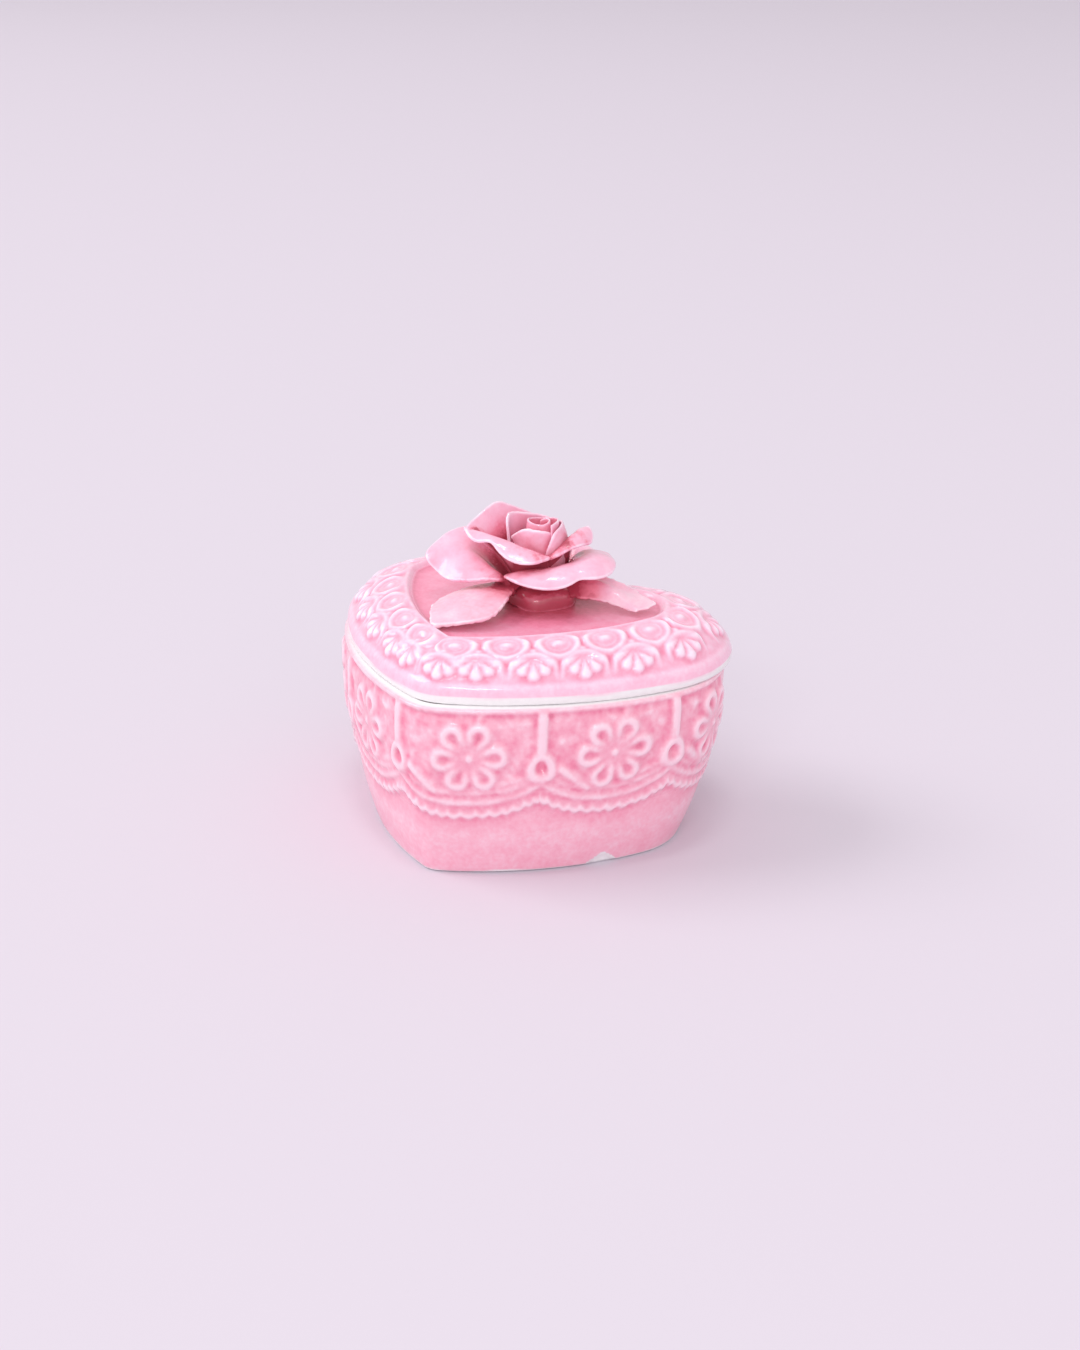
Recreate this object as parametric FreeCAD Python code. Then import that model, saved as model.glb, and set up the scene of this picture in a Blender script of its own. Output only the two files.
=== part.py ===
import FreeCAD, Part
import math
import os

# Heart-shaped porcelain trinket box with a lift-off lid and a hand-modelled rose.
# Units are millimetres, +Z is up, the foot stands on z = 0 and the origin is the
# middle of the whole object's footprint. The heart's tip points towards -Y.

os.makedirs("parts", exist_ok=True)

V = FreeCAD.Vector

# ---- heart outline, measured on the outside of the box's rim ----
HALF_WIDTH = 44.0          # widest half-breadth over the lobes
LOBE_X = 20.6              # lobe centre, each side of the middle
TIP_BACK = 32.1            # tip circle's centre, this far from the lobe line
TIP_R = 10.8               # rounding of the tip
SIDE_R = 77.5              # long bulging flank
CLEFT_R = 3.6              # rounding between the lobes
LOBE_R = HALF_WIDTH - LOBE_X
BASE_X = 0.3               # box's middle line
BASE_Y = 8.4               # lobe line of the box

# ---- box ----
RIM_Z = 37.5               # top of the box's wall
RIM_DRAW = 0.6             # the wall draws in this much just under the rim
WALL_BELLY = 0.5           # and swells this much half-way up
FOOT_INSET = 7.8           # foot is this much smaller all round than the rim
FOOT_SHIFT = -3.3          # foot sits this far towards the tip
TIP_KEEP = 0.8             # the tip's rounding shrinks a little slower
WALL = 3.0
FLOOR_Z = 5.0              # inside floor
FOOT_RING = 4.0            # width of the ring it stands on
FOOT_RECESS = 1.4          # hollow under the floor

# ---- lid ----
LID_X = -0.3               # the lid sits a little off centre on the box
LID_Y = 2.6
LID_THICK = 3.2
BORDER_RISE = 10.8         # from the seat to the ridge round the panel
LID_TIP_KEEP = 0.7         # the border narrows a little at the tip
PANEL_INSET = 14.2         # sunk heart panel's edge
PANEL_SINK = 1.1
FLANGE_GAP = 3.8           # slack between the locating ring and the box's wall
FLANGE_WALL = 2.6
FLANGE_DEPTH = 3.8

# ---- rose ----
ROSE_X = 3.3
ROSE_Y = 7.9
PANEL_Z = RIM_Z + BORDER_RISE - PANEL_SINK
PETAL_THICK = 1.1
SHEET_STEPS = 20           # a petal is modelled in this many steps from side to side
# Measures of the core: (distance from the rose's axis, height above the panel).
CORE = [(0, 3.0), (3.6, 4.0), (4.5, 8.0), (3.9, 12.0), (2.2, 14.4), (0, 14.8)]
PAD_R = 7.4
PAD_RISE = 4.2
PAD_SINK = 0.2             # buried in the panel
PAD_ROUNDING = 1.8
SPIRAL_START = 330
SPIRAL_TURN = 40           # degrees from one station to the next
SPIRAL_STEPS = 14
SPIRAL_R = 4.3
SPIRAL_PITCH = 1.9         # how much closer to the axis after one turn
SPIRAL_TOP = 17.5
SPIRAL_THICK = 0.6
BUD_THICK = 0.9
LEAF_X = -3.2              # where the left leaf starts, from the rose's axis
LEAF_Y = -4.0
LEAF_HEADING = 254.7
LEAF_LENGTH = 24.3
LEAF_WIDTH = 15.8
LEAF_BROAD = 1.45          # above 1 the widest place lies nearer the tip
LEAF_BLUNT = 0.1
LEAF_ROOT_Z = 4.9
LEAF_TIP_Z = 1.6
LEAF_ARCH = 1.3
LEAF_FOLD = 0.02
LEAF_THICK = 1.3
LOW_LEFT_THICK = 1.3


def heart(inset, z, dx=0.0, dy=0.0, tip_keep=1.0):
    """Closed heart outline of tangent arcs, drawn inside the rim outline by inset."""
    lobe_r = LOBE_R - inset
    tip_r = TIP_R - inset * tip_keep
    side_r = SIDE_R - inset
    cleft_r = CLEFT_R + inset
    cx = BASE_X + dx
    cy = BASE_Y + dy
    # flank circle: touches the lobe circle and the tip circle from outside
    to_lobe = side_r - lobe_r
    to_tip = side_r - tip_r
    span = math.hypot(LOBE_X, TIP_BACK)
    along = (to_tip ** 2 - to_lobe ** 2 + span ** 2) / (2 * span)
    across = math.sqrt(to_tip ** 2 - along ** 2)
    ux = LOBE_X / span
    uy = TIP_BACK / span
    sx = ux * along - uy * across
    sy = -TIP_BACK + uy * along + ux * across
    a_tip = math.atan2(-TIP_BACK - sy, -sx)
    a_lobe = math.atan2(-sy, LOBE_X - sx)
    # cleft circle: sits in the notch above the two lobe circles
    notch = math.sqrt((lobe_r + cleft_r) ** 2 - LOBE_X ** 2)
    a_notch = math.atan2(notch, -LOBE_X)

    def at(x, y, r, a, side):
        return V(cx + side * (x + r * math.cos(a)), cy + y + r * math.sin(a), z)

    def arc(x, y, r, a0, a1, side):
        p0 = at(x, y, r, a0, side)
        p1 = at(x, y, r, (a0 + a1) / 2, side)
        p2 = at(x, y, r, a1, side)
        return Part.Arc(p0, p1, p2).toShape()

    low = -math.pi / 2
    right = [
        arc(0, -TIP_BACK, tip_r, low, a_tip, 1),
        arc(sx, sy, side_r, a_tip, a_lobe, 1),
        arc(LOBE_X, 0, lobe_r, a_lobe, a_notch, 1),
        arc(0, notch, cleft_r, a_notch - math.pi, low, 1),
    ]
    left = [
        arc(0, notch, cleft_r, low, a_notch - math.pi, -1),
        arc(LOBE_X, 0, lobe_r, a_notch, a_lobe, -1),
        arc(sx, sy, side_r, a_lobe, a_tip, -1),
        arc(0, -TIP_BACK, tip_r, a_tip, low, -1),
    ]
    return Part.Wire(right + left)


def heart_block(sections, ruled=False):
    return Part.makeLoft([heart(*s) for s in sections], True, ruled)


# ---- box: bulging wall that draws in towards the foot ----
def wall_section(z, extra=0.0):
    t = max(0.0, 1 - z / RIM_Z)
    inset = FOOT_INSET * t ** 1.7 - WALL_BELLY * math.sin(math.pi * t) + RIM_DRAW * (1 - t) ** 6
    shift = FOOT_SHIFT * t ** 1.3
    return (inset + extra, z, 0.0, shift, TIP_KEEP)


def box_base():
    outside = heart_block([wall_section(z) for z in (0, 4, 10, 17, 25, 32, RIM_Z)])
    above = [wall_section(z, WALL) for z in (FLOOR_Z + 2.5, 14, 22, 30, RIM_Z)]
    hollow = heart_block(above)
    lower = wall_section(FLOOR_Z + 2.5, WALL)
    toe = (lower[0] + 2.2, FLOOR_Z, 0.0, lower[3], TIP_KEEP)
    hollow = hollow.fuse(heart_block([toe, lower], True))
    mouth = wall_section(RIM_Z, WALL)
    top = heart_block([mouth, (mouth[0], RIM_Z + 1, 0.0, 0.0, TIP_KEEP)], True)
    hollow = hollow.fuse(top)
    ring = wall_section(0, FOOT_RING)
    under = (ring[0] + 0.8, FOOT_RECESS, 0.0, ring[3], TIP_KEEP)
    below = (ring[0], -0.2, 0.0, ring[3], TIP_KEEP)
    recess = heart_block([below, under], True)
    return outside.cut(hollow).cut(recess).removeSplitter().Solids[0]


def box_lid():
    def at(inset, z, tip_keep=LID_TIP_KEEP):
        return (inset, RIM_Z + z, LID_X, LID_Y, tip_keep)

    edge = heart_block([at(0.8, 0), at(0.3, 0.3), at(0, 0.8), at(0, 1.7)], True)
    border = [at(0, 1.7), at(0.7, 3.5), at(2.7, 5.9), at(6, 8.3), at(10, 10.0), at(13.4, BORDER_RISE)]
    lid = edge.fuse(heart_block(border))
    panel_z = BORDER_RISE - PANEL_SINK
    panel = heart_block([at(PANEL_INSET + 0.5, panel_z), at(PANEL_INSET - 0.4, BORDER_RISE + 0.2)], True)
    ring_out = WALL + FLANGE_GAP
    ring_in = ring_out + FLANGE_WALL
    flange = heart_block([at(ring_out, -FLANGE_DEPTH, 1.0), at(ring_out, 0.5, 1.0)], True)
    roof = panel_z - LID_THICK
    hollow = heart_block([at(ring_in, -FLANGE_DEPTH - 0.2, 1.0), at(ring_in, roof - 2.4, 1.0)], True)
    hollow = hollow.fuse(heart_block([at(ring_in, roof - 2.4, 1.0), at(ring_in + 4, roof)], True))
    return lid.fuse(flange).cut(panel).cut(hollow).removeSplitter().Solids[0]


# ---- hand-modelled clay pieces ----
def skin(rows):
    """Smooth bicubic surface drawn by a grid of points."""
    n = len(rows)
    m = len(rows[0])
    s = Part.BSplineSurface()
    s.buildFromPolesMultsKnots(
        rows, [4] + [1] * (n - 4) + [4], [4] + [1] * (m - 4) + [4],
        list(range(n - 2)), list(range(m - 2)), False, False, 3, 3)
    return s


def slab(front, thick):
    """Thin clay sheet: the grid of points is its front, thick(i, j) its thickness."""
    n = len(front)
    m = len(front[0])
    back = []
    for i in range(n):
        row = []
        for j in range(m):
            du = front[min(i + 1, n - 1)][j] - front[max(i - 1, 0)][j]
            dv = front[i][min(j + 1, m - 1)] - front[i][max(j - 1, 0)]
            normal = du.cross(dv)
            normal.normalize()
            row.append(front[i][j] + normal * thick(i / (n - 1), j / (m - 1)))
        back.append(row)
    face_a = skin(front).toShape()
    face_b = skin(back).toShape()
    sides = []
    for a, b in zip(face_a.Edges, face_b.Edges):
        sides.append(Part.makeRuledSurface(a, b, 1))
    shell = Part.Shell([face_a, face_b] + sides)
    shell.sewShape()
    solid = Part.Solid(shell)
    if solid.Volume < 0:
        solid.reverse()
    return solid


def on_curve(points, t):
    """Point at fraction t of the smooth curve that passes through all the points."""
    last = len(points) - 1
    k = min(int(t * last), last - 1)
    f = t * last - k
    a = points[max(k - 1, 0)]
    b = points[k]
    c = points[k + 1]
    d = points[min(k + 2, last)]
    bend = (a * 2 - b * 5 + c * 4 - d) * (f * f) + (b * 3 - a - c * 3 + d) * (f * f * f)
    return b + (c - a) * (f / 2) + bend * 0.5


def sheet(lines, thick, trim=0.0):
    """Sheet of clay through lines of points that run from its root to its lip.

    trim shortens the lines at the two sides, which rounds the sheet's corners.
    """
    rows = []
    for i in range(SHEET_STEPS + 1):
        s = i / SHEET_STEPS
        reach = 1 - trim * abs(2 * s - 1) ** 4
        rows.append([on_curve([on_curve(line, reach * j / 8) for line in lines], s) for j in range(9)])
    return slab(rows, lambda u, v: thick * (1 - 0.35 * v))


def petal(stations, thick=PETAL_THICK, trim=0.06):
    """Sheet whose lines leave the rose's axis in the directions given.

    Each station is (direction in degrees, points); a point is (distance from the
    rose's axis, height above the panel).
    """
    lines = []
    for angle, line in stations:
        a = math.radians(angle)
        lines.append([V(ROSE_X + r * math.cos(a), ROSE_Y + r * math.sin(a), PANEL_Z + h) for r, h in line])
    return sheet(lines, thick, trim)


def leaf_left():
    """Broad leaf that lies out from under the rose and falls away to its tip."""
    a = math.radians(LEAF_HEADING)
    ax = math.cos(a)
    ay = math.sin(a)
    rows = []
    for i in range(11):
        v = i / 10
        belly = math.sin(math.pi * (0.06 + 0.92 * v ** LEAF_BROAD))
        half = LEAF_WIDTH / 2 * max(belly, LEAF_BLUNT)
        row = []
        for j in range(9):
            out = LEAF_LENGTH * v
            side = half * (-1 + j / 4)
            z = LEAF_ROOT_Z + (LEAF_TIP_Z - LEAF_ROOT_Z) * v
            z = z + LEAF_ARCH * math.sin(math.pi * v) - LEAF_FOLD * side * side
            x = LEAF_X + out * ax - side * ay
            y = LEAF_Y + out * ay + side * ax
            row.append(V(ROSE_X + x, ROSE_Y + y, PANEL_Z + z))
        rows.append(row)
    return slab(rows, lambda u, v: -LEAF_THICK * (1 - 0.3 * abs(2 * v - 1)))


def rose_pad():
    """Rounded clay pad that the rose is stuck on."""
    pad = Part.makeCylinder(PAD_R, PAD_RISE, V(ROSE_X, ROSE_Y, PANEL_Z - PAD_SINK))
    rim = [e for e in pad.Edges if e.BoundBox.ZMin > PANEL_Z + PAD_SINK]
    return pad.makeFillet(PAD_ROUNDING, rim).Solids[0]


def rose_bud():
    """Core that the bud's petals are wrapped round, a plump cone."""
    side = Part.BSplineCurve()
    side.interpolate([V(ROSE_X + r, ROSE_Y, PANEL_Z + z) for r, z in CORE])
    (_, low), (_, high) = CORE[0], CORE[-1]
    axis = Part.makeLine(V(ROSE_X, ROSE_Y, PANEL_Z + high), V(ROSE_X, ROSE_Y, PANEL_Z + low))
    face = Part.Face(Part.Wire([side.toShape(), axis]))
    return face.revolve(V(ROSE_X, ROSE_Y, 0), V(0, 0, 1), 360)


def bud_spiral():
    """Thin strip of clay rolled up in the middle of the bud."""
    stations = []
    for k in range(SPIRAL_STEPS):
        r = SPIRAL_R - SPIRAL_PITCH * k * SPIRAL_TURN / 360
        top = SPIRAL_TOP + 0.3 * math.sin(1.3 * k)
        line = [(r + 0.3, 7.0), (r + 0.5, 11.0), (r + 0.3, 14.6), (r - 0.1, top)]
        stations.append((SPIRAL_START + SPIRAL_TURN * k, line))
    return petal(stations, -SPIRAL_THICK, 0.0)


BUD_INNER = [
    (218, [(4.6, 6), (5.4, 10), (5.8, 12.6), (6.8, 14.2)]),
    (238, [(4.6, 6), (5.2, 10), (5.2, 13.6), (5.5, 16.0)]),
    (258, [(4.6, 6), (5.1, 10), (4.9, 13.8), (4.8, 16.8)]),
    (280, [(4.6, 6), (5.0, 10), (4.8, 13.8), (4.6, 16.8)]),
    (305, [(4.6, 6), (5.0, 10), (4.7, 13.6), (4.5, 16.6)]),
    (330, [(4.6, 6), (4.9, 10), (4.6, 13.4), (4.3, 16.4)]),
]

BUD_OUTER = [
    (85, [(5.0, 5), (5.9, 10), (5.4, 14), (5.0, 16.6)]),
    (125, [(5.0, 5), (5.9, 10), (5.2, 14), (4.8, 17.4)]),
    (160, [(5.0, 5), (5.9, 10), (5.2, 14), (5.0, 18.0)]),
    (185, [(5.0, 5), (6.0, 10), (5.7, 14), (6.0, 18.6)]),
    (203, [(5.0, 5), (6.1, 10), (6.3, 14), (6.8, 18.6)]),
    (216, [(5.0, 5), (6.2, 10), (6.4, 13.2), (6.9, 16.6)]),
]

BUD_RIGHT = [
    (311, [(5.2, 6), (5.8, 9.0), (6.0, 10.8), (6.1, 12.4)]),
    (325, [(5.2, 6), (6.0, 10), (6.0, 13.2), (5.7, 15.6)]),
    (342, [(5.2, 6), (6.0, 10), (5.9, 13.8), (5.1, 16.6)]),
    (0, [(5.2, 6), (6.0, 10), (5.8, 13.8), (4.7, 16.9)]),
    (30, [(5.2, 6), (6.0, 10), (5.8, 13.8), (4.6, 17.2)]),
    (60, [(5.2, 6), (6.0, 10), (5.8, 13.8), (4.8, 17.0)]),
    (84, [(5.2, 6), (5.9, 10), (5.9, 13.4), (5.4, 16.0)]),
]

BACK_LEFT = [
    (112, [(4.4, 4), (6.4, 9), (7.4, 12.6), (8.6, 15.2)]),
    (135, [(4.4, 4), (6.8, 10), (7.8, 14), (8.8, 16.8)]),
    (158, [(4.4, 4), (7.2, 10), (8.4, 15), (9.4, 18.4)]),
    (178, [(4.4, 4), (7.4, 10), (9.0, 15.2), (10.7, 19.9)]),
    (194, [(4.4, 4), (7.6, 10), (10.0, 15), (12.2, 18.9)]),
    (207, [(4.4, 4), (8.2, 10), (11.4, 14.2), (14.6, 17.2)]),
    (216, [(5.0, 5), (8.8, 10.2), (12.6, 13.6), (16.6, 16.0)]),
]

FRONT_LEFT = [
    (211, [(5.0, 4), (8.6, 9.5), (12.0, 13.4), (14.8, 15.0), (16.6, 15.9)]),
    (221, [(5.0, 4), (8.0, 9.5), (10.8, 13.6), (12.9, 15.1), (15.2, 14.2)]),
    (230, [(5.0, 4), (7.6, 9.4), (9.6, 13.5), (11.3, 14.8), (13.7, 13.7)]),
    (240, [(5.0, 4), (7.2, 9.3), (8.6, 13.2), (10.0, 14.5), (12.2, 14.4)]),
    (251, [(5.0, 4), (6.9, 9.0), (7.8, 12.9), (9.0, 14.1), (11.6, 12.7)]),
    (266, [(5.0, 4), (6.6, 8.8), (7.2, 12.3), (8.4, 13.3), (11.4, 11.5)]),
    (282, [(5.0, 4), (6.4, 8.6), (6.8, 11.8), (8.0, 12.7), (11.0, 10.9)]),
    (298, [(5.0, 4), (6.2, 8.4), (6.6, 11.1), (7.6, 12.0), (10.0, 11.0)]),
    (315, [(5.0, 4), (6.0, 8.2), (6.4, 10.5), (7.0, 11.3), (8.4, 11.2)]),
]

RIGHT = [
    (314, [(4.8, 4), (5.8, 8.4), (6.2, 10.2), (6.8, 10.9), (7.8, 10.9)]),
    (330, [(4.8, 4), (5.8, 8.8), (6.2, 11.4), (6.8, 12.2), (7.8, 11.6)]),
    (348, [(4.8, 4), (5.8, 9.2), (6.2, 12.7), (7.0, 13.5), (8.5, 12.7)]),
    (5, [(4.8, 4), (5.9, 9.6), (6.4, 13.6), (7.5, 14.4), (9.3, 12.9)]),
    (20, [(4.8, 4), (6.0, 9.8), (6.9, 14.0), (8.4, 14.7), (10.4, 12.7)]),
    (33, [(4.8, 4), (6.2, 9.8), (7.4, 14.0), (9.0, 14.8), (10.7, 13.8)]),
    (45, [(4.8, 4), (6.4, 9.6), (8.0, 13.6), (9.4, 14.6), (10.7, 15.1)]),
]

LOW_FRONT = [
    (252, [(5, 3), (7.0, 5.6), (8.4, 6.8), (9.6, 7.2), (10.6, 7.0)]),
    (270, [(5, 3), (6.8, 6.8), (8.4, 8.0), (10.2, 8.0), (11.9, 7.1)]),
    (291, [(5, 3), (6.8, 7.4), (8.4, 8.6), (10.6, 8.3), (12.7, 6.6)]),
    (310, [(5, 3), (6.8, 7.6), (8.6, 9.0), (11.0, 8.5), (13.2, 6.5)]),
    (325, [(5, 3), (6.9, 7.8), (8.8, 9.3), (11.2, 8.9), (13.5, 7.0)]),
    (337, [(5, 3), (7.0, 8.0), (9.2, 9.6), (11.6, 9.3), (13.2, 7.9)]),
    (347, [(5, 3), (7.2, 8.2), (9.8, 9.9), (13.0, 9.4), (15.2, 7.8)]),
    (3, [(5, 3), (7.2, 8.4), (10.0, 10.3), (13.4, 9.9), (16.3, 8.0)]),
    (19, [(5, 3), (7.2, 8.5), (10.0, 10.4), (13.2, 10.1), (15.9, 8.7)]),
    (38, [(5, 3), (7.0, 8.3), (9.4, 10.0), (12.0, 9.8), (14.4, 9.1)]),
]

LOW_LEFT = [
    (178, [(4.5, 1.5), (9.5, 8.6), (14.0, 12.6), (18.6, 13.4)]),
    (190, [(4.5, 1.5), (9.8, 8.2), (15.0, 12.8), (20.8, 13.2)]),
    (200, [(4.5, 1.5), (10.0, 7.6), (16.0, 12.5), (23.4, 11.0)]),
    (208, [(4.5, 1.5), (9.8, 6.8), (16.0, 11.8), (24.6, 9.4)]),
    (215, [(4.5, 1.5), (9.4, 6.2), (14.6, 11.0), (22.4, 7.2)]),
    (223, [(4.5, 1.5), (8.8, 5.6), (13.2, 10.0), (20.4, 6.0)]),
    (232, [(4.5, 1.5), (8.2, 5.0), (11.6, 9.0), (17.8, 6.5)]),
    (241, [(4.5, 1.5), (7.6, 4.4), (10.0, 7.8), (14.6, 7.0)]),
    (250, [(4.5, 1.5), (7.2, 3.9), (8.8, 6.2), (10.8, 6.7)]),
]

LOW_BACK = [
    (55, [(5, 2), (7.6, 5.5), (10.0, 8.6), (12.8, 9.4)]),
    (80, [(5, 2), (8.0, 6.0), (11.4, 9.4), (14.6, 8.6)]),
    (110, [(5, 2), (8.0, 6.0), (11.6, 9.6), (15.4, 9.0)]),
    (145, [(5, 2), (7.6, 5.5), (11.0, 9.0), (14.2, 10.4)]),
]

# The right leaf is bent along its length and its near part hangs down. Each line runs
# outwards; a point is (x, y, height) from the rose's axis.
LEAF_RIGHT = [
    [(5.0, -1.2, 2.0), (10.0, -1.4, 2.5), (14.5, -0.4, 2.5), (19.0, -0.5, 2.0), (22.9, -0.4, 1.4)],
    [(5.0, -0.3, 3.1), (10.0, -0.3, 4.2), (14.6, 0.4, 3.8), (19.2, 0.3, 2.6), (23.1, -0.2, 1.6)],
    [(5.0, 1.0, 4.2), (9.6, 0.9, 5.8), (14.6, 1.9, 5.2), (19.4, 1.4, 3.4), (23.2, 0.2, 1.9)],
    [(5.0, 2.6, 4.2), (9.6, 2.9, 6.0), (14.8, 4.0, 5.1), (19.8, 3.8, 3.5), (24.4, 2.8, 2.0)],
    [(5.0, 4.0, 4.2), (9.6, 5.0, 6.0), (14.4, 5.8, 5.5), (19.6, 6.1, 3.8), (24.8, 5.2, 2.3)],
]


def leaf_right():
    lines = [[V(ROSE_X + x, ROSE_Y + y, PANEL_Z + h) for x, y, h in line] for line in LEAF_RIGHT]
    return sheet(lines, PETAL_THICK)


nodes = {
    "box_base": box_base(),
    "box_lid": box_lid(),
    "rose_pad": rose_pad(),
    "rose_bud": rose_bud(),
    "bud_spiral": bud_spiral(),
    "bud_petal_inner": petal(BUD_INNER, -BUD_THICK),
    "bud_petal_outer": petal(BUD_OUTER, BUD_THICK),
    "bud_petal_right": petal(BUD_RIGHT, -BUD_THICK),
    "petal_back_left": petal(BACK_LEFT),
    "petal_front_left": petal(FRONT_LEFT, -PETAL_THICK),
    "petal_right": petal(RIGHT, -PETAL_THICK),
    "petal_low_front": petal(LOW_FRONT, -PETAL_THICK),
    "petal_low_left": petal(LOW_LEFT, LOW_LEFT_THICK),
    "petal_low_back": petal(LOW_BACK),
    "leaf_left": leaf_left(),
    "leaf_right": leaf_right(),
}

for name, shape in nodes.items():
    shape.exportStep("parts/" + name + ".step")
    print(name, shape.ShapeType, len(shape.Solids), shape.isValid(), round(shape.Volume))
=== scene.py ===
import math

import bpy
import numpy as np
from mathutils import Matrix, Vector
from mathutils.bvhtree import BVHTree
from mathutils.kdtree import KDTree


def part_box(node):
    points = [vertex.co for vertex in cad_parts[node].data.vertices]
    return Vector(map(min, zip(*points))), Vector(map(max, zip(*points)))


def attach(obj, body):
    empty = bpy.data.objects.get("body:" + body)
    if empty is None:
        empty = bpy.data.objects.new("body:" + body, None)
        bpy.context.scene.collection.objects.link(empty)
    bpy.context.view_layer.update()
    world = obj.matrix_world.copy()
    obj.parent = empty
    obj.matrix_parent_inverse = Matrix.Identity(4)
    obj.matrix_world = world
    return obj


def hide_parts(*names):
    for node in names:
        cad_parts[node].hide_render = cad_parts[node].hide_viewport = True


# A heart-shaped porcelain trinket box with lace in relief and a hand-modelled rose.
# The object's sizes and places are in millimetres until a mesh is made, when MM turns them
# into metres. The floor, the lights and the camera are in metres, and their angles in degrees.

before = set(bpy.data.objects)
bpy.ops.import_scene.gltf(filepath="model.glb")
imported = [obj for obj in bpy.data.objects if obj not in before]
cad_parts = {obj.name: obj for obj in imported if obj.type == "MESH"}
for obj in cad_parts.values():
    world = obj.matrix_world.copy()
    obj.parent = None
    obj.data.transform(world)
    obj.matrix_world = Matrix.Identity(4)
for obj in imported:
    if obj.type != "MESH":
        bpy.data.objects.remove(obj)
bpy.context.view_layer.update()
MM = 0.001

# ---------------------------------------------------------------- driving sizes
HALF_WIDTH = 44.0
LOBE_X = 20.6               # middle of a lobe's arc, on the heart's x axis
LOBE_R = HALF_WIDTH - LOBE_X
TIP_BACK = 32.1             # the middle of the tip's arc is this far along -y
TIP_R = 10.8
SIDE_R = 77.5               # long flank between the tip and the lobe
CLEFT_R = 3.6
TIP_KEEP = 0.8              # share of an inset that the tip's radius loses, on the box
LID_TIP_KEEP = 0.7          # the same on the lid
RING_TIP_KEEP = 1.0         # the same on the lid's locating ring
BASE_AT = (0.3, 8.4)        # where the heart's origin lies on the box
LID_AT = (0.0, 11.0)        # and on the lid

RIM_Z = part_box("box_base")[1].z / MM
RIM_DRAW = 0.6              # the wall draws in by this much under the rim
WALL_BELLY = 0.5
FOOT_INSET = 7.8
FOOT_SHIFT = -3.3           # the foot lies nearer the tip than the rim does
FOOT_RING = 4.0             # width of the bare ring that the box stands on
FOOT_RECESS = 1.4
WALL = 3.0
FLOOR_Z = 5.0
BASE_MIDDLE_Y = -12.0       # middle of the heart's area, from the heart's origin

RISE = 10.8                 # the border's crest over the rim
PANEL_SINK = 1.1
PANEL_INSET = 14.2          # the sunk panel's edge from the lid's edge
PANEL_Z = RIM_Z + RISE - PANEL_SINK
LID_THICK = 3.2
LID_MIDDLE_Y = -13.0
FLANGE_GAP = 3.8            # slack between the locating ring and the wall
FLANGE_WALL = 2.6
FLANGE_DEPTH = 3.8
ROSE_AT = (3.3, 7.9)        # the rose's upright axis


# ---------------------------------------------------------------- heart outline
def heart_arcs(inset, keep):
    """Right half of the outline, from the tip: arcs as (centre x, centre y, radius, start, end)."""
    lobe_r = LOBE_R - inset
    tip_r = TIP_R - inset * keep
    side_r = SIDE_R - inset
    cleft_r = CLEFT_R + inset
    span = math.hypot(LOBE_X, TIP_BACK)
    along = ((side_r - tip_r) ** 2 - (side_r - lobe_r) ** 2 + span ** 2) / (2 * span)
    across = math.sqrt((side_r - tip_r) ** 2 - along ** 2)
    sx = (LOBE_X * along - TIP_BACK * across) / span
    sy = -TIP_BACK + (TIP_BACK * along + LOBE_X * across) / span
    a_tip = math.atan2(-TIP_BACK - sy, -sx)
    a_lobe = math.atan2(-sy, LOBE_X - sx)
    notch = math.sqrt((lobe_r + cleft_r) ** 2 - LOBE_X ** 2)
    a_notch = math.atan2(notch, -LOBE_X)
    low = -math.pi / 2
    return [
        (0, -TIP_BACK, tip_r, low, a_tip),
        (sx, sy, side_r, a_tip, a_lobe),
        (LOBE_X, 0, lobe_r, a_lobe, a_notch),
        (0, notch, cleft_r, a_notch - math.pi, low),
    ]


RIM_LENGTHS = [abs(r * (end - start)) for _, _, r, start, end in heart_arcs(0, 1)]
RIM_STARTS = np.cumsum([0] + RIM_LENGTHS)
HALF_LENGTH = float(RIM_STARTS[-1])
LENGTH = 2 * HALF_LENGTH


def outline(s, inset, keep=TIP_KEEP):
    """Points of the heart drawn inside the rim by inset; s runs along the rim from the tip.

    Returns x, y and how much shorter than the rim the outline is there.
    """
    s = np.mod(s, LENGTH)
    left = s > HALF_LENGTH
    t = np.where(left, LENGTH - s, s)
    x = np.zeros_like(t)
    y = np.zeros_like(t)
    ratio = np.ones_like(t)
    for k, (cx, cy, r, a0, a1) in enumerate(heart_arcs(inset, keep)):
        here = (t >= RIM_STARTS[k] - 1e-9) & (t <= RIM_STARTS[k + 1] + 1e-9)
        a = a0 + (a1 - a0) * (t - RIM_STARTS[k]) / RIM_LENGTHS[k]
        x = np.where(here, cx + r * np.cos(a), x)
        y = np.where(here, cy + r * np.sin(a), y)
        ratio = np.where(here, r * abs(a1 - a0) / RIM_LENGTHS[k], ratio)
    return np.where(left, -x, x), y, ratio


# ---------------------------------------------------------------- number helpers
def step(a, b, x):
    """Smooth step from 0 at a to 1 at b; a may be the larger."""
    t = np.clip((x - a) / (b - a), 0, 1)
    return t * t * (3 - 2 * t)


def ridge(d, w):
    """Rounded ridge: 1 at distance 0, near 0 at twice the half width w."""
    return np.exp(-(d / w) ** 2)


def to_segment(x, y, ax, ay, bx, by):
    """Distance from points to a segment, and how far along it (0 to 1)."""
    dx, dy = bx - ax, by - ay
    t = np.clip(((x - ax) * dx + (y - ay) * dy) / (dx * dx + dy * dy), 0, 1)
    return np.hypot(x - ax - t * dx, y - ay - t * dy), t


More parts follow.
